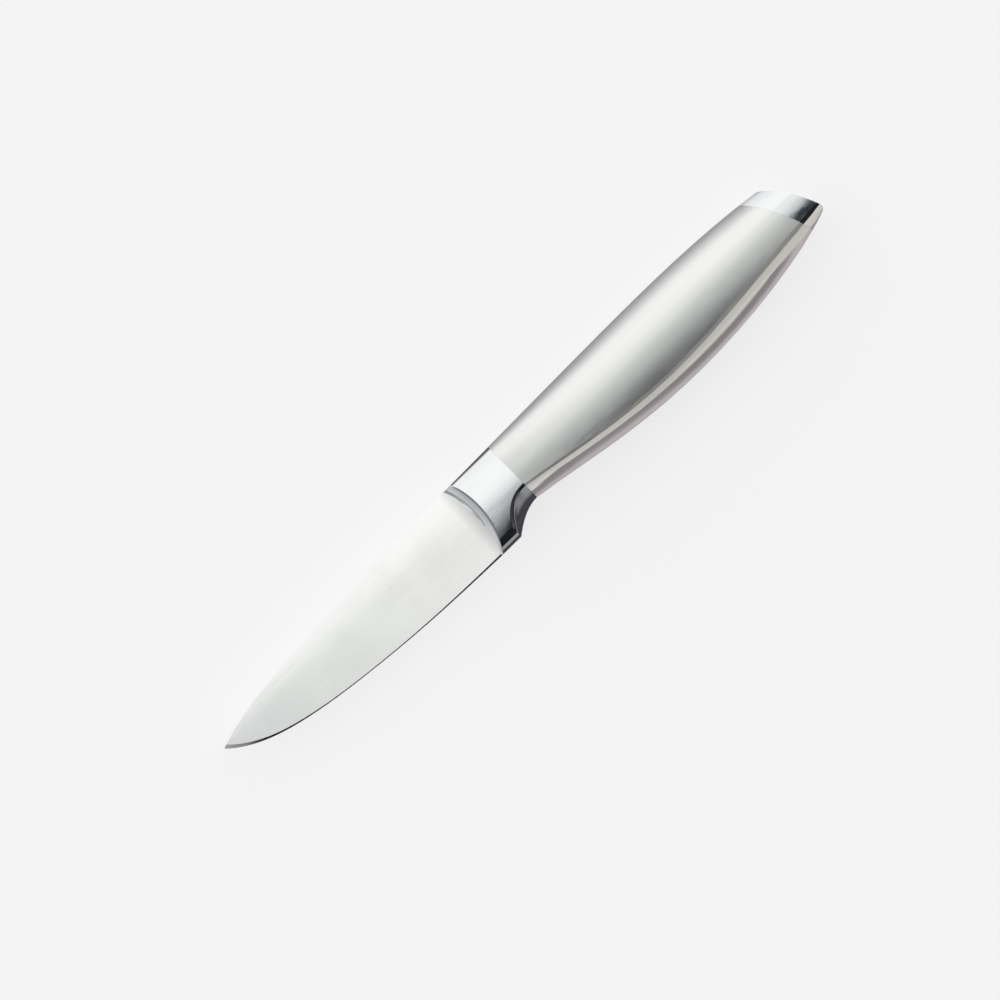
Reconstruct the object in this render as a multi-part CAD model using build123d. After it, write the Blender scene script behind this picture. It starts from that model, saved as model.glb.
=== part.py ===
from build123d import *
from math import radians, tan
import os

# Paring knife with a hollow steel handle. All sizes are in millimetres.
# It is drawn with the blade tip at x = 0, the butt toward +X, the spine toward +Y and the
# centre plane at z = 0. At the end it is laid on its right flank, with the left flank up.

# Blade
edge_length = 83.5
blade_depth = 21.7
tip_drop = 7.6
spine_thickness = 2.0
heel_edge_thickness = 0.4
tip_thickness = 0.8
edge_land = 0.06
edge_bevel_angle = 20
root_length = 1.3
spine_shares = ((0.135, 0.60), (0.33, 0.365), (0.63, 0.16), (1.0, 0.0))
edge_shares = ((0.042, 0.195), (0.105, 0.395), (0.225, 0.615), (0.44, 0.815), (0.72, 0.95), (1.0, 1.0))

# Bolster
bolster_length = 16.4
bolster_foot_length = 6.7
front_arc_radius = 23.0
front_arc_reach = 4.7
front_arc_drop = 8.2
lip_arc_radius = 29.8
lip_arc_drop = 10.5
cove_radius = 2.5
lip_thickness = 0.2
nose_height = 1.2
bolster_spigot_length = 5.0

# Handle
handle_length = 101.5
handle_thickness = 17.0
flank_flat_depth = 3.0
crown_rise = 0.95
joint_depth = 17.4
belly_drop = 5.9
joint_crease_depth = 14.1
joint_bend_depth = 13.3
foot_crease_rise = 0.75
foot_bend_rise = 1.35
bend_softness = 0.5
shell_wall = 0.8

# End cap
cap_top_length = 14.9
cap_bottom_length = 5.9
cap_seam_bulge = 1.1
cap_spigot_length = 4.0
butt_round_length = 11.0
butt_round_depth = 14.5
butt_corner_radius = 1.4
butt_corner_turn = 110

# Inner pieces
tang_depth = 7.0
tang_thickness = 3.0
tang_drop = 9.0
tang_root_length = 6.0
tang_tail_length = 44.0
collar_depth = 11.0
collar_width = 8.0
collar_thickness = 2.0
collar_corner_radius = 2.0
weight_diameter = 11.0
weight_length = 20.0
weight_grip_length = 12.0
weight_edge_chamfer = 0.8

# Fits
weld_gap = 0.02
tang_clearance = 0.05
spigot_clearance = 0.1
overrun = 3.0

# Guide curves of the bolster and handle, as shares given to the control points of a smooth
# curve, evenly spaced from the front of the bolster to the butt, or from the joint outward.
crown_shares = (-0.19, 0.55, 0.44, 3.60, -3.56)
roundness_shares = (0.84, 0.74, 0.54, 0.56, 0.56)
thickness_shares = (0.36, 0.56, 1.57, 0.79, 0.92, 0.98, 0.84)
belly_keel_shares = (0.0, 0.43, 1.68, 0.86, 0.98, -0.38)
belly_crease_shares = (0.0, 0.76, 0.71, 2.58, -0.36, 1.41, 0.10)
belly_bend_shares = (0.0, 0.45, 1.63, 0.87, 0.27, 0.12)
finger_keel_shares = (0.0, 0.0, 0.39, 1.0)
finger_crease_shares = (0.0, 0.0, 0.10, 1.0)

# Shape of each cross section
widest_depth_share = 0.40
foot_width_share = 0.60
flank_fullness_share = 0.45
foot_fullness_share = 0.30
facet_lean_share = 0.85
facet_start_share = 0.30
keel_width_share = 0.30
butt_shares = ((1.0, 0.03), (0.72, 0.06), (0.32, 0.43), (0.013, 1.0))
bend_search_count = 20

# Spans between the sections: before the foot's corner, along the finger rest, along the handle.
# Inside the handle they are longer, and chords stand for each curve of a section. Chords stand
# for the narrow bend everywhere.
skin_span_counts = (3, 8, 16)
hollow_span_counts = (1, 2, 6)
hollow_chord_count = 3
bend_chord_count = 3

# Places that follow from the sizes above
joint_x = edge_length + bolster_length
corner_x = edge_length + bolster_foot_length
butt_x = joint_x + handle_length
end_x = butt_x + overrun
front_arc_x = edge_length + front_arc_reach
root_end_x = front_arc_x + root_length
spigot_end_x = joint_x + bolster_spigot_length
tang_start_x = joint_x - tang_root_length
tang_end_x = joint_x + tang_tail_length
handle_depth = joint_depth + belly_drop
widest_y = -widest_depth_share * handle_depth
sole_y = -max(blade_depth, handle_depth) - overrun
half_width = handle_thickness / 2 + overrun


def guide(start_x, end_x, heights):
    """A smooth curve whose control points stand evenly from one place to another."""
    step = (end_x - start_x) / (len(heights) - 1)
    return Bezier(*[(start_x + step * i, height) for i, height in enumerate(heights)])


def height(curve, x):
    """Height of a guide curve at a place along the knife."""
    start = curve @ 0
    end = curve @ 1
    return (curve @ ((x - start.X) / (end.X - start.X))).Y


def places(start_x, end_x, spans):
    """Evenly spaced places along the knife, with both ends."""
    return [start_x + (end_x - start_x) * i / spans for i in range(spans + 1)]


def chorded(curve, chords):
    """A curve of a section, or the chords that stand for it inside the handle."""
    if not chords:
        return curve
    return Polyline(*[curve @ (i / chords) for i in range(chords + 1)])


def block(start, end):
    """A box between two opposite corners."""
    size = Vector(*end) - Vector(*start)
    return Pos(*((Vector(*start) + Vector(*end)) * 0.5)) * Box(size.X, size.Y, size.Z)


def slab(start_x, end_x):
    """Everything between two places along the knife."""
    return block((start_x, sole_y - overrun, -half_width), (end_x, overrun, half_width))


def prism(outline, half_thickness):
    """An outline on the centre plane carried to both sides."""
    return extrude(make_face(outline), amount=half_thickness, both=True)


def grip_section(x, crown, half, roundness, bend, crease, keel, chords):
    """Cross section of the bolster or handle: a crown, a flank with a flat on it, a soft bend
    into a narrow facet, and the curved underside between the two creases."""
    high = widest_y + flank_flat_depth / 2
    low = widest_y - flank_flat_depth / 2
    shoulder = high + (crown - high) * roundness
    inner = half * roundness
    top = Bezier((x, crown, 0), (x, crown, inner), (x, shoulder, half), (x, high, half))
    waist = low + (sole_y - low) * flank_fullness_share
    ankle = sole_y + (low - sole_y) * foot_fullness_share
    foot = half * foot_width_share
    flank = Bezier((x, low, half), (x, waist, half), (x, ankle, foot), (x, sole_y, foot))
    above, below = 0, 1
    for _ in range(bend_search_count):
        middle = (above + below) / 2
        if (flank @ middle).Y > bend + bend_softness:
            above = middle
        else:
            below = middle
    flank = flank.trim(0, above)
    corner = flank @ 1 + (flank % 1) * bend_softness
    edge = Vector(x, crease, corner.Z - (corner.Y - crease) * facet_lean_share)
    facet = Bezier(flank @ 1, corner, corner + (edge - corner) * facet_start_share, edge)
    lowest = (4 * keel - crease) / 3
    arch_half = edge.Z * keel_width_share
    arch = Bezier(edge, (x, lowest, arch_half), (x, lowest, -arch_half), (x, crease, -edge.Z))
    side = [*chorded(top, chords).edges(), Line((x, high, half), (x, low, half)).edge()]
    side += [*chorded(flank, chords).edges(), *chorded(facet, bend_chord_count).edges()]
    other_side = [mirror(piece, about=Plane.XY).edge() for piece in reversed(side)]
    return Wire([*side, *chorded(arch, 2 * chords).edges(), *other_side])


def low_line(foot_depth, depth, finger_shares, belly_shares, x):
    """Height of the keel, crease or bend: level over the foot, then the finger rest, then the belly."""
    if x < corner_x:
        return -foot_depth
    if x < joint_x:
        return -depth - (foot_depth - depth) * height(guide(joint_x, corner_x, finger_shares), x)
    return -depth - belly_drop * height(guide(joint_x, end_x, belly_shares), x)


def grip_form(inset, span_counts, chords):
    """The body that the bolster, shells and cap are cut from, drawn in by the inset."""
    start_x = edge_length - overrun
    crown_line = guide(start_x, end_x, [share * crown_rise for share in crown_shares])
    flank_line = guide(start_x, end_x, [share * handle_thickness / 2 for share in thickness_shares])
    roundness_line = guide(start_x, end_x, roundness_shares)
    foot_crease_depth = blade_depth - foot_crease_rise
    foot_bend_depth = blade_depth - foot_bend_rise
    sections = []
    front_spans, finger_spans, belly_spans = span_counts
    front = places(start_x, corner_x, front_spans)
    over_finger = places(corner_x, joint_x, finger_spans)
    over_belly = places(joint_x, end_x, belly_spans)
    for x in front[:-1] + over_finger[:-1] + over_belly:
        crown = height(crown_line, x) - inset
        half = height(flank_line, x) - inset
        roundness = height(roundness_line, x)
        keel = low_line(blade_depth, joint_depth, finger_keel_shares, belly_keel_shares, x) + inset
        crease = low_line(foot_crease_depth, joint_crease_depth, finger_crease_shares, belly_crease_shares, x)
        bend = low_line(foot_bend_depth, joint_bend_depth, finger_crease_shares, belly_bend_shares, x)
        lines = (bend + inset, crease + inset, keel)
        sections.append(grip_section(x, crown, half, roundness, *lines, chords))
    return Solid.make_loft(sections, ruled=True)


def seam_region(shift):
    """Everything behind the oblique seam of the end cap, moved along by the shift."""
    top = Vector(butt_x - cap_top_length + shift, 0)
    bottom = Vector(butt_x - cap_bottom_length + shift, -joint_depth)
    middle = (top + bottom) * 0.5 + Vector(cap_seam_bulge, 0)
    slant = (bottom - top) * (overrun / joint_depth)
    seam = ThreePointArc(top, middle, bottom)
    high = top - slant
    low = bottom + slant * 2
    far_x = butt_x + 2 * overrun
    rim = Polyline(bottom, low, (far_x, low.Y), (far_x, high.Y), high, top)
    return prism([seam, rim], half_width)


def beyond_butt():
    """Everything behind the rounded butt end."""
    points = [(butt_x - along * butt_round_length, -down * butt_round_depth) for along, down in butt_shares]
    round_end = Bezier(*points)
    corner = JernArc(round_end @ 1, round_end % 1, butt_corner_radius, -butt_corner_turn)
    high = round_end @ 0 + Vector(0, overrun)
    low = corner @ 1 - Vector(overrun, overrun)
    far_x = butt_x + 2 * overrun
    rim = Polyline(corner @ 1, low, (far_x, low.Y), (far_x, high.Y), high, round_end @ 0)
    return prism([round_end, corner, rim], half_width)


def flank_plane(side):
    """The flat face of the blade on one side, thinner toward the edge and the tip."""
    spine = Vector(edge_length, 0, side * spine_thickness / 2)
    heel = Vector(edge_length, -blade_depth, side * heel_edge_thickness / 2)
    tip = Vector(0, -tip_drop, side * tip_thickness / 2)
    normal = (heel - spine).cross(tip - spine)
    if normal.Z * side < 0:
        normal = normal * -1
    return Plane(origin=spine, z_dir=normal)


def between_flanks(shape, inset):
    """What lies between the two flanks of the blade, drawn in by the inset."""
    for side in (1, -1):
        shape = split(shape, bisect_by=flank_plane(side).offset(-inset), keep=Keep.BOTTOM)
    return shape


def behind_lip(gap):
    """Everything behind the front edge of the bolster's lip."""
    centre = Vector(front_arc_x - cove_radius - lip_arc_radius, -lip_arc_drop)
    disc = Pos(centre.X, centre.Y) * Cylinder(lip_arc_radius - gap, 2 * half_width)
    return slab(edge_length - overrun, butt_x) - disc


def edge_line():
    """The cutting edge from the tip to the heel."""
    fall = blade_depth - tip_drop
    points = [(along * edge_length, -tip_drop - down * fall) for along, down in edge_shares]
    return Spline((0, -tip_drop), *points)


def bevel_cutter():
    """What the left edge bevel takes off along the cutting edge."""
    edge = edge_line()
    lead_in = Line(edge @ 0 - (edge % 0) * overrun, edge @ 0)
    lead_out = Line(edge @ 1, edge @ 1 + (edge % 1) * overrun)
    path = Wire([lead_in, edge, lead_out])
    along = path % 0
    section = Plane(origin=path @ 0, x_dir=(along.Y, -along.X, 0), z_dir=along)
    low = -edge_land / 2
    high = low - overrun * tan(radians(edge_bevel_angle))
    profile = section * Polyline((0, low), (-overrun, high), (overrun, high), (overrun, low), close=True)
    return sweep(make_face(profile), path=path)


def make_blade():
    """Flat-ground blade with a bevelled edge and a short root that sits in the bolster."""
    spine_points = [(along * front_arc_x, -down * tip_drop) for along, down in spine_shares]
    spine = Spline((0, -tip_drop), *spine_points)
    edge = edge_line()
    rim = Polyline(spine @ 1, (front_arc_x, -blade_depth), edge @ 1)
    blank = between_flanks(prism([spine, rim, edge], spine_thickness), 0) - behind_lip(weld_gap)
    root_start = (edge_length - 2 * overrun, nose_height - blade_depth, -spine_thickness)
    root_end = (root_end_x, -nose_height, spine_thickness)
    blank += between_flanks(block(root_start, root_end), weld_gap)
    cutter = bevel_cutter()
    return blank - cutter - mirror(cutter, about=Plane.XY)


def cove_cutter():
    """What the left cove takes off in front of the bolster, square to the flank."""
    flank = flank_plane(1)
    centre = flank.to_local_coords(Vector(front_arc_x - front_arc_radius, -front_arc_drop))
    origin = flank.from_local_coords(Vector(centre.X, centre.Y))
    inner = front_arc_radius - cove_radius
    top = lip_thickness + cove_radius
    cove = CenterArc((inner, top), cove_radius, -90, 90)
    rim = Polyline(cove @ 1, (front_arc_radius, half_width), (0, half_width), (0, lip_thickness), cove @ 0)
    radial = Plane(origin=origin, x_dir=flank.x_dir, z_dir=flank.x_dir.cross(flank.z_dir))
    return revolve(radial * make_face([cove, rim]), axis=Axis(origin, flank.z_dir))


def tang_bar(gap):
    """The bar that runs from the bolster into the handle, grown by a gap on every side."""
    side = tang_depth / 2 + gap
    half = tang_thickness / 2 + gap
    start = (tang_start_x - gap, -tang_drop - side, -half)
    return block(start, (tang_end_x + gap, side - tang_drop, half))


def make_bolster(form, spigot_form):
    """Cast bolster with a coved front, a slot for the blade root and a spigot for the shells."""
    body = (form & slab(edge_length - overrun, joint_x)) & behind_lip(0)
    cove = cove_cutter()
    body = body - cove - mirror(cove, about=Plane.XY)
    body += spigot_form & slab(joint_x - overrun, spigot_end_x)
    slot_start = (edge_length - overrun, nose_height - blade_depth - weld_gap, -spine_thickness)
    slot_end = (root_end_x + weld_gap, weld_gap - nose_height, spine_thickness)
    return body - between_flanks(block(slot_start, slot_end), 0) - tang_bar(tang_clearance)


def make_shell(form, cavity, side):
    """One pressed half of the hollow handle."""
    tube = (form - cavity) & slab(joint_x + weld_gap, butt_x)
    tube -= seam_region(0)
    return split(tube, bisect_by=Plane.XY, keep=Keep.TOP if side > 0 else Keep.BOTTOM)


def make_cap(form, spigot_form):
    """Polished cap that closes the butt, with a spigot that fits inside the shells."""
    cap = (form & seam_region(weld_gap)) - beyond_butt()
    spigot = (spigot_form & seam_region(-cap_spigot_length)) - seam_region(overrun)
    return cap + spigot


def across(x, outline):
    """An outline placed square across the knife, on the centre line of the tang."""
    return Plane(origin=(x, -tang_drop, 0), x_dir=(0, 1, 0), z_dir=(1, 0, 0)) * outline


def make_collar():
    """Collar welded on the tang behind the spigot of the bolster."""
    outline = RectangleRounded(collar_depth, collar_width, collar_corner_radius)
    plate = extrude(across(spigot_end_x + weld_gap, outline), amount=collar_thickness)
    return plate - tang_bar(tang_clearance)


def make_weight():
    """Steel slug pressed on the tail of the tang to balance the knife."""
    slug = extrude(across(tang_end_x - weight_grip_length, Circle(weight_diameter / 2)), amount=weight_length)
    slug = chamfer(slug.edges().filter_by(GeomType.CIRCLE), weight_edge_chamfer)
    return slug - tang_bar(tang_clearance)


form = grip_form(0, skin_span_counts, 0)
cavity = grip_form(shell_wall, hollow_span_counts, hollow_chord_count)
spigot_form = grip_form(shell_wall + spigot_clearance, hollow_span_counts, hollow_chord_count)
parts = {
    "blade": make_blade(),
    "bolster": make_bolster(form, spigot_form),
    "handle_shell_left": make_shell(form, cavity, 1),
    "handle_shell_right": make_shell(form, cavity, -1),
    "end_cap": make_cap(form, spigot_form),
    "tang": tang_bar(0),
    "tang_collar": make_collar(),
    "balance_weight": make_weight(),
}

# Lay the knife on its right flank, with the origin under the middle of its box
box = Compound([shape.solid() for shape in parts.values()]).bounding_box()
rest = Pos(-box.center().X, -box.center().Y, -box.min.Z)
print("overall", box.size)

os.makedirs("parts", exist_ok=True)
for name, shape in parts.items():
    export_step(rest * shape, f"parts/{name}.step")
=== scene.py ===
import math

import bpy
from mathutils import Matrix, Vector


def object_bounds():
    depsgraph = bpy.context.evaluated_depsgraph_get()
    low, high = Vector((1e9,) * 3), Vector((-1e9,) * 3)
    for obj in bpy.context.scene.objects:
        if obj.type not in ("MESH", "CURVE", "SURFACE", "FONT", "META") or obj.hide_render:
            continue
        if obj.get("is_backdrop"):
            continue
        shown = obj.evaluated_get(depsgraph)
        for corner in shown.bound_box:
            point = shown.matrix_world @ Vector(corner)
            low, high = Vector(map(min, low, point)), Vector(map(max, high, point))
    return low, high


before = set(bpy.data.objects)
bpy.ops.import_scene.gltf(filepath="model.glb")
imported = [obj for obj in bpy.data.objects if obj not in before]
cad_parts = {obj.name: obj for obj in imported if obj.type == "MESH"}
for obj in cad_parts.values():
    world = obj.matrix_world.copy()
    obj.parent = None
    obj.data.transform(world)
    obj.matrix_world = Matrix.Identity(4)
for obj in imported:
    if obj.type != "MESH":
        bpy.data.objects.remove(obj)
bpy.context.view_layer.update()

MM = 0.001
MICRON = 0.000001
FULL_TURN = 360.0
HALF_TURN = 180.0

# Lines of the CAD that the finishes and the painted shade of the cove follow, in the CAD's frame:
# the middle of the handle's flank, the circle where the cove meets the bolster's flank, the cove's
# front and the bend above the finger rest
FLANK_MIDDLE = 1.85 * MM
COVE_CENTRE = (-35.48 * MM, 2.97 * MM)
COVE_REACH = 23.0 * MM
COVE_START = -15.2 * MM
COVE_WIDTH = 2.3 * MM
REST_START = -0.78 * MM
REST_LENGTH = 9.7 * MM
REST_BEND = -2.13 * MM
REST_DROP = 7.05 * MM
REST_CUBE_SHARE = 0.7

# Relief of the ground and polished surfaces, finer than the CAD's faces, and the bands over which
# the base colour changes:
# the painted shade of the cove, the blade's darker edge side and the painted reflection of the
# cove on the blade toward the bolster.
# The blade falls away toward the spine by BLADE_FALL times the square of the distance in metres
# past BLADE_FALL_START.
FLANK_CROWN = 0.14 * MM
FLANK_CROWN_WIDTH = 1.7 * MM
REST_ROLL = 0.15 * MM
REST_ROLL_BAND = (-0.2 * MM, 0.95 * MM)
COVE_RIM = (-0.08 * MM, 0.06 * MM)
BLADE_FALL = 3.2
BLADE_FALL_START = 3.5 * MM
BLADE_LOW_BAND = (-1 * MM, 9 * MM)
BOLSTER_SHADE_START = -18.6 * MM
BOLSTER_SHADE_LENGTH = 10.0 * MM

# How far a surface has to face the spine or the edge side before the painted shade and painted
# reflection tones of its colour set in, and, for REST_HAZE, before it grows hazier
POLISHED_SPINE = (0.75, 0.95)
POLISHED_FACET = (0.45, 0.55)
POLISHED_BELLY = (0.62, 0.78)
REST_HAZE = (0.5, 0.6)
SATIN_SPINE = (0.5, 1.0)
SATIN_FACET = (0.67, 0.73)
SATIN_BELLY = (0.78, 0.93)

# Smooth shading: faces this near are joined, and edges bent more than this many degrees stay sharp
MERGE_DISTANCE = 2 * MICRON
SHARP_ANGLE = 9.4
SHELL_SHARP_ANGLE = 7.5


# Shader maths

class Value:
    """A number that a shader socket carries, so that shader maths reads as plain expressions."""

    def __init__(self, tree, socket):
        self.tree = tree
        self.socket = socket

    def math(self, operation, *values):
        return self.tree.math(operation, self, *values)

    def __add__(self, other):
        return self.math("ADD", other)

    __radd__ = __add__

    def __mul__(self, other):
        return self.math("MULTIPLY", other)

    def __sub__(self, other):
        return self.math("SUBTRACT", other)

    def __rsub__(self, other):
        return self.tree.math("SUBTRACT", other, self)

    def __truediv__(self, other):
        return self.math("DIVIDE", other)

    def smooth(self, low, high):
        """0 below low, 1 above high and a soft step between them."""
        settings = {"interpolation_type": "SMOOTHSTEP"}
        node = self.tree.node("ShaderNodeMapRange", settings, {0: self, 1: low, 2: high})
        return Value(self.tree, node.outputs[0])

    def above_zero(self):
        return self.math("MAXIMUM", 0.0)

    def below_one(self):
        return self.math("MINIMUM", 1.0)


class Tree:
    """The nodes of one material, of the world or of a geometry modifier."""

    def __init__(self, node_tree):
        self.nodes = node_tree.nodes
        self.links = node_tree.links
        self.nodes.clear()

    def node(self, kind, settings=None, sockets=None):
        """A node with its settings made first, then the values or links of its sockets."""
        node = self.nodes.new(kind)
        for name, setting in (settings or {}).items():
            if name == "stops":
                self.stops(node.color_ramp, setting)
            else:
                setattr(node, name, setting)
        for name, value in (sockets or {}).items():
            socket = node.inputs[name]
            if isinstance(value, Value):
                value = value.socket
            if isinstance(value, bpy.types.NodeSocket):
                self.links.new(value, socket)
            else:
                socket.default_value = value
        return node

    def stops(self, ramp, stops):
        """Colours of a ramp at their places."""
        ramp.interpolation = "LINEAR"
        while len(ramp.elements) < len(stops):
            ramp.elements.new(0.5)
        for element, (place, colour) in zip(ramp.elements, stops):
            element.position = place
            element.color = (*colour, 1.0)

    def math(self, operation, *values):
        node = self.node("ShaderNodeMath", {"operation": operation}, dict(enumerate(values)))
        return Value(self, node.outputs[0])

    def axes(self, socket):
        """The three numbers of a vector."""
        node = self.node("ShaderNodeSeparateXYZ", None, {0: socket})
        return [Value(self, output) for output in node.outputs]

    def coordinate(self, kind):
        """Object is the place in metres in the CAD's frame, Normal the way that the surface faces
        and, in the world, Generated the direction of the light."""
        return self.node("ShaderNodeTexCoord").outputs[kind]

    def noise(self, scale, detail):
        """Noise over the object, drawn out by its own scale along each axis."""
        sockets = {0: self.coordinate("Object"), 1: scale}
        place = self.node("ShaderNodeVectorMath", {"operation": "MULTIPLY"}, sockets).outputs[0]
        sockets = {"Vector": place, "Scale": 1.0, "Detail": detail}
        return Value(self, self.node("ShaderNodeTexNoise", None, sockets).outputs[0])

    def blend(self, factor, colour_a, colour_b):
        """A colour between two others."""
        sockets = {0: factor, 6: colour_a, 7: colour_b}
        return self.node("ShaderNodeMix", {"data_type": "RGBA"}, sockets).outputs[2]

    def ramp(self, place, stops):
        """A colour that follows a place given from 0 to 1, with its stops in degrees of a turn."""
        stops = [((degrees + HALF_TURN) / FULL_TURN, colour) for degrees, colour in stops]
        return self.node("ShaderNodeValToRGB", {"stops": stops}, {0: place}).outputs[0]

    def flank_crown(self):
        """The very slight crown of a ground flank, in metres, over the middle of its depth."""
        offset = (self.axes(self.coordinate("Object"))[1] - FLANK_MIDDLE) / FLANK_CROWN_WIDTH
        return self.math("EXPONENT", offset * offset * -0.5) * FLANK_CROWN

    def flank_distance(self):
        """How far a place lies behind the line where the bolster's cove meets its flank, in
        metres."""
        along, across, _ = self.axes(self.coordinate("Object"))
        along = along - COVE_CENTRE[0]
        across = across - COVE_CENTRE[1]
        return self.math("SQRT", along * along + across * across) - COVE_REACH

    def rest_distance(self):
        """How far a place lies above the bend along the bolster's finger rest, in metres. The
        bend drops toward the heel by a square and a cube of the way along it."""
        along, across, _ = self.axes(self.coordinate("Object"))
        reach = ((REST_START - along) / REST_LENGTH).above_zero().below_one()
        cube, square = REST_CUBE_SHARE, 1 - REST_CUBE_SHARE
        drop = reach * reach * (reach * cube + square) * REST_DROP
        slope = reach * (reach * (3 * cube) + 2 * square) * (REST_DROP / REST_LENGTH)
        return (across - REST_BEND + drop) / self.math("SQRT", slope * slope + 1.0)

    def steel(self, colour, roughness, height, tint=(1.0, 1.0, 1.0, 1.0)):
        """Ends the tree in bare metal, with its surface raised by a height in metres."""
        sockets = {"Height": height, "Distance": 1.0, "Strength": 1.0}
        relief = self.node("ShaderNodeBump", None, sockets).outputs[0]
        self.finish(self.node("ShaderNodeBsdfPrincipled", None, {
            "Base Color": colour,
            "Metallic": 1.0,
            "Specular Tint": tint,
            "Roughness": roughness,
            "Normal": relief,
        }))

    def finish(self, shader, output="ShaderNodeOutputMaterial"):
        self.node(output, None, {0: shader.outputs[0]})


def srgb(red, green, blue):
    """A colour as a picture gives it, 0 to 255, turned to the values that a shader takes."""
    def linear(level):
        level = level / 255
        return level / 12.92 if level <= 0.04045 else ((level + 0.055) / 1.055) ** 2.4
    return linear(red), linear(green), linear(blue), 1.0


def new_material(name):
    """An empty material and its tree."""
    material = bpy.data.materials.new(name)
    material.use_nodes = True
    return material, Tree(material.node_tree)


# Finishes

FLANK_POLISH = srgb(247, 248, 249)


def polished_steel(name, spine_painted_shade, facet_painted_reflection, belly_painted_shade, crown, coved=False):
    """Mirror-polished stainless steel with a very faint haze from handling. Painted shade darkens
    the spine and the belly, and a painted reflection tone tints the facet along the crease. On a
    coved piece painted shade also greys the cove, and the finger rest is hazier."""
    material, tree = new_material(name)
    along, across, _ = tree.axes(tree.coordinate("Normal"))
    edgeward = along.above_zero() * 0.5 - across
    # Painted shade on the spine and the belly, a painted reflection tone on the facet
    colour = tree.blend(across.smooth(*POLISHED_SPINE), FLANK_POLISH, spine_painted_shade)
    colour = tree.blend(edgeward.smooth(*POLISHED_FACET), colour, facet_painted_reflection)
    colour = tree.blend(edgeward.smooth(*POLISHED_BELLY), colour, belly_painted_shade)
    haze = tree.noise((220.0, 220.0, 220.0), 4.0)
    lines = tree.noise((60.0, 900.0, 900.0), 2.0)
    height = lines * (2 * MICRON) + tree.flank_crown() * crown
    roughness = 0.06 + haze.smooth(0.45, 0.75) * 0.05
    if coved:
        height = height + tree.rest_distance().smooth(*REST_ROLL_BAND) * REST_ROLL
        roughness = roughness + edgeward.smooth(*REST_HAZE) * 0.2
        # Painted shade in the cove, greyer toward its back, up to the rim where the cove meets the
        # flank
        cove_depth = (tree.axes(tree.coordinate("Object"))[0] - COVE_START).smooth(0.0, COVE_WIDTH)
        cove_painted_shade = tree.blend(cove_depth, srgb(228, 229, 231), srgb(198, 199, 202))
        colour = tree.blend(tree.flank_distance().smooth(*COVE_RIM), cove_painted_shade, colour)
    tree.steel(colour, roughness, height, tint=(0.5, 0.5, 0.52, 1.0))
    return material


def satin_steel():
    """Satin stainless steel, brushed along the handle and then blasted to a fine grain, with a
    faint random tone from wear. Painted shade darkens the spine, the facet and the belly."""
    material, tree = new_material("satin_steel")
    across = tree.axes(tree.coordinate("Normal"))[1]
    edgeward = across * -1.0
    grain = tree.noise((2600.0, 2600.0, 2600.0), 2.0)
    strokes = tree.noise((130.0, 1500.0, 1500.0), 3.0)
    clouds = tree.noise((70.0, 110.0, 110.0), 3.0)
    wear = strokes * 0.6 + clouds * 0.4
    colour = tree.blend(wear.smooth(0.35, 0.65), srgb(245, 246, 243), srgb(249, 250, 247))
    # Painted shade on the spine, then on the facet and the belly
    colour = tree.blend(across.smooth(*SATIN_SPINE), colour, srgb(182, 182, 184))
    under_painted_shade = tree.blend(edgeward.smooth(*SATIN_BELLY), srgb(150, 144, 146), srgb(212, 205, 208))
    colour = tree.blend(edgeward.smooth(*SATIN_FACET), colour, under_painted_shade)
    roughness = 0.33 + wear.smooth(0.3, 0.7) * 0.06
    height = (grain * 0.6 + strokes * 0.4) * (10 * MICRON) + tree.flank_crown()
    tree.steel(colour, roughness, height, tint=(0.6, 0.58, 0.59, 1.0))
    return material


def blade_steel():
    """Blade steel ground along the blade and finely polished after that. It is a little darker
    toward the edge, and toward the bolster it darkens with what the cove reflects on it."""
    material, tree = new_material("blade_steel")
    strokes = tree.noise((60.0, 4000.0, 4000.0), 2.0)
    haze = tree.noise((90.0, 90.0, 90.0), 3.0)
    along, across, _ = tree.axes(tree.coordinate("Object"))
    fall = (across - BLADE_FALL_START).above_zero()
    worn = strokes.smooth(0.3, 0.7)
    colour = tree.blend(worn, srgb(249, 249, 247), srgb(253, 253, 252))
    low_colour = tree.blend(worn, srgb(238, 238, 236), srgb(241, 241, 240))
    colour = tree.blend(across.smooth(*BLADE_LOW_BAND), low_colour, colour)
    near_bolster = ((along - BOLSTER_SHADE_START) / BOLSTER_SHADE_LENGTH).above_zero()
    colour = tree.blend(near_bolster, colour, (0.05, 0.05, 0.055, 1.0))
    roughness = 0.1 + haze.smooth(0.35, 0.65) * 0.04
    tree.steel(colour, roughness, strokes * (3 * MICRON) - fall * fall * BLADE_FALL)
    return material


def inner_steel():
    """Plain mill steel of the pieces sealed in the handle."""
    material, tree = new_material("inner_steel")
    scale = tree.noise((400.0, 400.0, 400.0), 4.0)
    colour = tree.blend(scale.smooth(0.35, 0.65), srgb(150, 150, 150), srgb(172, 171, 169))
    tree.steel(colour, 0.55 + scale * 0.15, scale * (20 * MICRON))
    return material


# Smooth shading over the joints between the CAD faces

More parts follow.
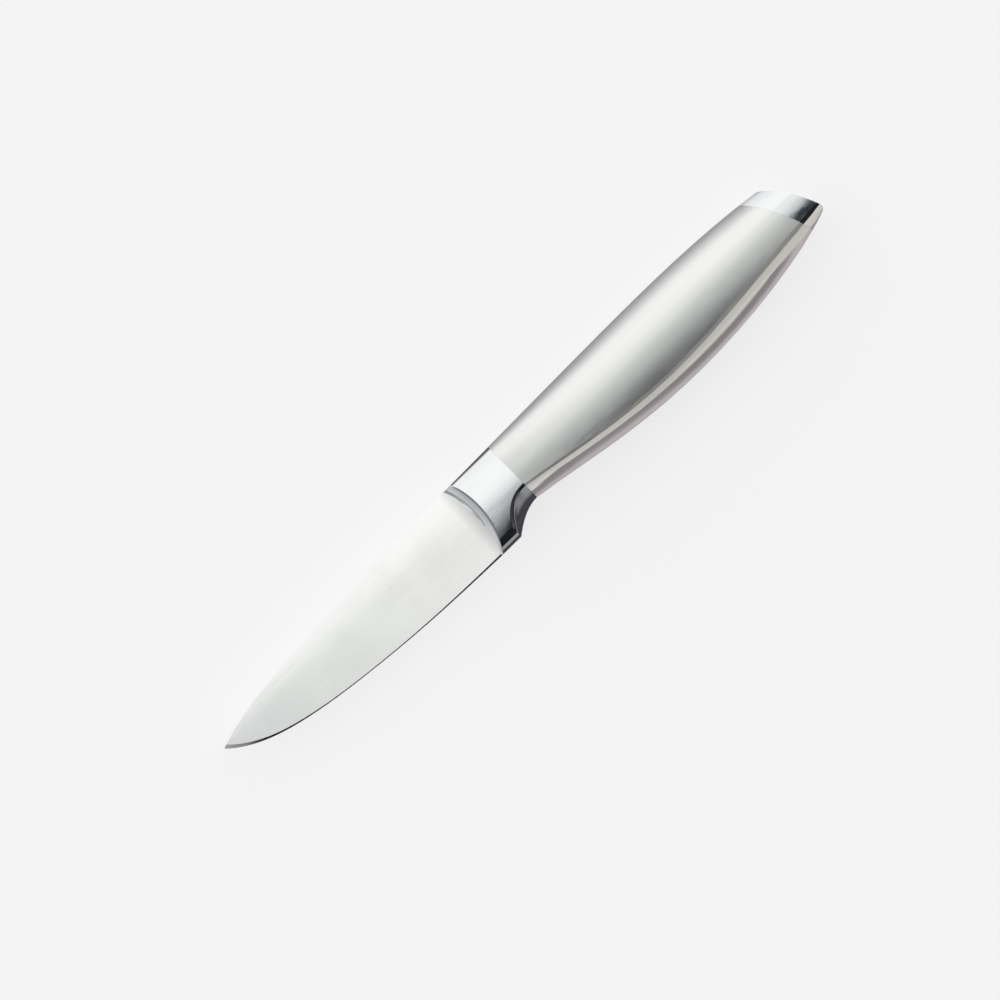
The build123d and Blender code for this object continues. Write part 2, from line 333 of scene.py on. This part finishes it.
def smooth_faces(name, sharp_angle):
    """Joins the faces of a piece where they meet and keeps only its real edges sharp."""
    group = bpy.data.node_groups.new(name, "GeometryNodeTree")
    for in_out in ("INPUT", "OUTPUT"):
        group.interface.new_socket("Geometry", in_out=in_out, socket_type="NodeSocketGeometry")
    tree = Tree(group)
    piece = tree.node("NodeGroupInput").outputs[0]
    sockets = {"Geometry": piece, "Distance": MERGE_DISTANCE}
    piece = tree.node("GeometryNodeMergeByDistance", None, sockets).outputs[0]
    sockets = {"Geometry": piece}
    piece = tree.node("GeometryNodeSetShadeSmooth", {"domain": "FACE"}, sockets).outputs[0]
    angle = tree.node("GeometryNodeInputMeshEdgeAngle").outputs["Unsigned Angle"]
    settings = {"data_type": "FLOAT", "operation": "LESS_EQUAL"}
    sockets = {"A": angle, "B": math.radians(sharp_angle)}
    soft = tree.node("FunctionNodeCompare", settings, sockets).outputs[0]
    sockets = {"Geometry": piece, "Shade Smooth": soft}
    piece = tree.node("GeometryNodeSetShadeSmooth", {"domain": "EDGE"}, sockets).outputs[0]
    tree.node("NodeGroupOutput", None, {0: piece})
    return group


def dress(node, material, shading):
    """Gives a CAD piece its finish and its smooth shading."""
    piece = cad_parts[node]
    piece.data.materials.clear()
    piece.data.materials.append(material)
    smooth = piece.modifiers.new("smooth_faces", "NODES")
    smooth.node_group = shading
    weighted = piece.modifiers.new("weighted_normals", "WEIGHTED_NORMAL")
    weighted.keep_sharp = True
    weighted.mode = "FACE_AREA_WITH_ANGLE"
    weighted.weight = 50


shading = smooth_faces("smooth_faces", SHARP_ANGLE)
shell_shading = smooth_faces("smooth_shell_faces", SHELL_SHARP_ANGLE)
# Spine, facet and belly colours: painted shade and a painted reflection tone on the bolster,
# painted shade on the cap's belly only
bolster_polish = polished_steel(
    "bolster_polish", srgb(75, 75, 77), srgb(180, 184, 193), srgb(72, 73, 77), 1.0, coved=True)
cap_polish = polished_steel(
    "cap_polish", FLANK_POLISH, FLANK_POLISH, srgb(184, 180, 180), 0.6)
satin = satin_steel()
inner = inner_steel()
dress("blade", blade_steel(), shading)
dress("bolster", bolster_polish, shading)
for shell in ("handle_shell_left", "handle_shell_right"):
    dress(shell, satin, shell_shading)
dress("end_cap", cap_polish, shading)
for hidden in ("tang", "tang_collar", "balance_weight"):
    dress(hidden, inner, shading)


# Floor, studio light and camera

FLOOR_HALF = 4.0
FLOOR_GLOW = 1.045
FLOOR_GLOW_SHARE = 0.7


def floor_paper():
    """White paper that takes the knife's shadow, with a glow that only the camera and
    reflections see."""
    material, tree = new_material("floor_paper")
    fibre = tree.noise((900.0, 900.0, 900.0), 3.0)
    colour = tree.blend(fibre.smooth(0.3, 0.7), srgb(246, 246, 246), srgb(247, 247, 247))
    paper = tree.node("ShaderNodeBsdfPrincipled", None, {
        "Base Color": colour,
        "Roughness": 0.95,
        "Specular IOR Level": 0.0,
    })
    glow = tree.node("ShaderNodeEmission", None, {0: (1.0, 1.0, 1.0, 1.0), 1: FLOOR_GLOW})
    rays = tree.node("ShaderNodeLightPath").outputs
    seen = Value(tree, rays["Is Camera Ray"])
    for name in ("Is Glossy Ray", "Is Transmission Ray"):
        seen = seen + Value(tree, rays[name])
    share = seen.below_one() * FLOOR_GLOW_SHARE
    sockets = {0: share, 1: paper.outputs[0], 2: glow.outputs[0]}
    tree.finish(tree.node("ShaderNodeMixShader", None, sockets))
    return material


def make_floor():
    low, high = -FLOOR_HALF, FLOOR_HALF
    corners = [(low, low, 0), (high, low, 0), (high, high, 0), (low, high, 0)]
    mesh = bpy.data.meshes.new("floor")
    mesh.from_pydata(corners, [], [(0, 1, 2, 3)])
    floor = bpy.data.objects.new("floor", mesh)
    mesh.materials.append(floor_paper())
    bpy.context.collection.objects.link(floor)
    floor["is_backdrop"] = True


def grey(level):
    return level, level, level


# Light of the studio by the angle round the knife's length, in degrees from straight up toward
# the spine. LOW is the warm paper under the edge side, CARD the dark card above it with the first
# of its soft upper edge, and ROOF the tent over the spine side.
LOW = ((-95, (0.52, 0.50, 0.465)), (-80, (0.66, 0.63, 0.585)))
CARD = LOW + (
    (-65, (0.60, 0.57, 0.53)), (-59, grey(0.012)), (-18.6, (0.0115, 0.0125, 0.015)),
    (-17.6, (0.05, 0.055, 0.06)),
)
ROOF = ((26, grey(0.95)), (60, grey(0.91)), (78, grey(0.80)), (95, grey(0.62)))

# Over the middle of the knife
OVER = LOW + (
    (-72, (0.62, 0.59, 0.55)), (-66, (0.12, 0.115, 0.11)), (-60, grey(0.06)),
    (-20, (0.04, 0.04, 0.045)), (-17, (0.14, 0.15, 0.17)), (-12.5, (0.34, 0.36, 0.37)),
    (-8, (0.60, 0.62, 0.62)), (-4, (0.84, 0.86, 0.85)), (2, (0.95, 0.96, 0.95)), (12, grey(1.0)),
    (50, grey(1.0)), (80, grey(0.97)), (95, grey(0.88)),
)
# Toward the tip, over the joint of handle and bolster and then over the bolster
OVER_JOINT = CARD + (
    (-16.3, (0.12, 0.13, 0.135)), (-12.2, (0.24, 0.255, 0.26)), (-8, (0.31, 0.325, 0.33)),
    (-5, (0.38, 0.395, 0.39)), (3, (0.48, 0.49, 0.485)), (6, (0.55, 0.56, 0.55)),
    (9, (0.66, 0.665, 0.66)), (13, (0.86, 0.865, 0.86)), (18, grey(0.95)),
) + ROOF
OVER_TIP = CARD + (
    (-16.3, (0.13, 0.14, 0.145)), (-14.3, (0.22, 0.235, 0.24)), (-12.2, (0.29, 0.305, 0.31)),
    (-10.3, (0.35, 0.37, 0.375)), (-9, (0.43, 0.45, 0.455)), (-7.1, (0.63, 0.65, 0.65)),
    (-5, (0.765, 0.78, 0.775)), (2.8, (0.89, 0.90, 0.89)), (8.2, grey(0.98)),
) + ROOF
# Over the butt
OVER_BUTT = LOW + (
    (-68, (0.61, 0.58, 0.54)), (-62, grey(0.012)), (-11.4, (0.013, 0.016, 0.02)),
    (-9.0, (0.06, 0.07, 0.085)), (-7.0, (0.32, 0.35, 0.36)), (-3.7, (0.55, 0.575, 0.57)),
    (-2.1, (0.68, 0.70, 0.69)), (0.7, (0.79, 0.81, 0.80)), (8, (0.90, 0.91, 0.905)),
    (22, grey(0.96)), (50, grey(0.97)), (80, grey(0.92)), (95, grey(0.88)),
)
# Beyond the tip: a dim opening, which the front of the cove reflects, and the tent's side
TIP_GAP = (
    (-95, (0.50, 0.48, 0.46)), (-60, grey(0.27)), (8, grey(0.29)), (24, grey(0.95)),
    (60, grey(0.80)), (95, grey(0.48)),
)
TIP_SIDE = (
    (-95, (0.50, 0.48, 0.47)), (-60, (0.66, 0.67, 0.68)), (30, (0.68, 0.69, 0.70)),
    (95, (0.68, 0.69, 0.70)),
)

# The part of the tent that takes over as a direction leans toward the tip or the butt
TIPWARD_PARTS = (
    (0.11, 0.18, OVER_JOINT), (0.26, 0.282, OVER_TIP), (0.34, 0.38, TIP_GAP),
    (0.46, 0.54, TIP_SIDE),
)
BUTTWARD_PARTS = ((0.085, 0.12, OVER_BUTT), (0.20, 0.26, OVER_TIP))
TENT_STRENGTH = 1.03

# Over the middle of the knife the card's upper edge falls toward the butt, in degrees
CARD_RAISED = 6.0
CARD_FALL = 18.0
CARD_FALL_SPAN = (-0.12, 0.05)


def studio_world():
    """White tent round the knife, with a dark card low on the edge side and parts of its own
    toward the tip and the butt."""
    world = bpy.data.worlds.new("studio")
    world.use_nodes = True
    bpy.context.scene.world = world
    tree = Tree(world.node_tree)
    along, across, up = tree.axes(tree.coordinate("Generated"))
    turn = tree.math("ARCTAN2", across, up) * (HALF_TURN / math.pi)
    slant = CARD_RAISED - along.smooth(*CARD_FALL_SPAN) * CARD_FALL
    place = (turn + HALF_TURN) / FULL_TURN
    level = tree.ramp(place - slant / FULL_TURN, OVER)
    for lean, parts in ((along * -1.0, TIPWARD_PARTS), (along, BUTTWARD_PARTS)):
        for start, end, stops in parts:
            level = tree.blend(lean.smooth(start, end), level, tree.ramp(place, stops))
    tent = tree.node("ShaderNodeBackground", None, {0: level, 1: TENT_STRENGTH})
    tree.finish(tent, "ShaderNodeOutputWorld")


CAMERA_SENSOR = 36.0
CAMERA_LENS = 216.0
CAMERA_HEIGHT = 1.5
CAMERA_AIM = (-7.88 * MM, -0.23 * MM)
CAMERA_TURN = -44.4


def make_camera():
    """Looks straight down on the left flank, turned so that the tip points to the lower left."""
    data = bpy.data.cameras.new("camera")
    data.sensor_width = CAMERA_SENSOR
    data.lens = CAMERA_LENS
    camera = bpy.data.objects.new("camera", data)
    low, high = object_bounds()
    camera.location = (*CAMERA_AIM, (low.z + high.z) / 2 + CAMERA_HEIGHT)
    camera.rotation_euler = (0, 0, math.radians(CAMERA_TURN))
    bpy.context.collection.objects.link(camera)
    bpy.context.scene.camera = camera


make_floor()
studio_world()
make_camera()
bpy.context.scene.view_settings.view_transform = "Standard"
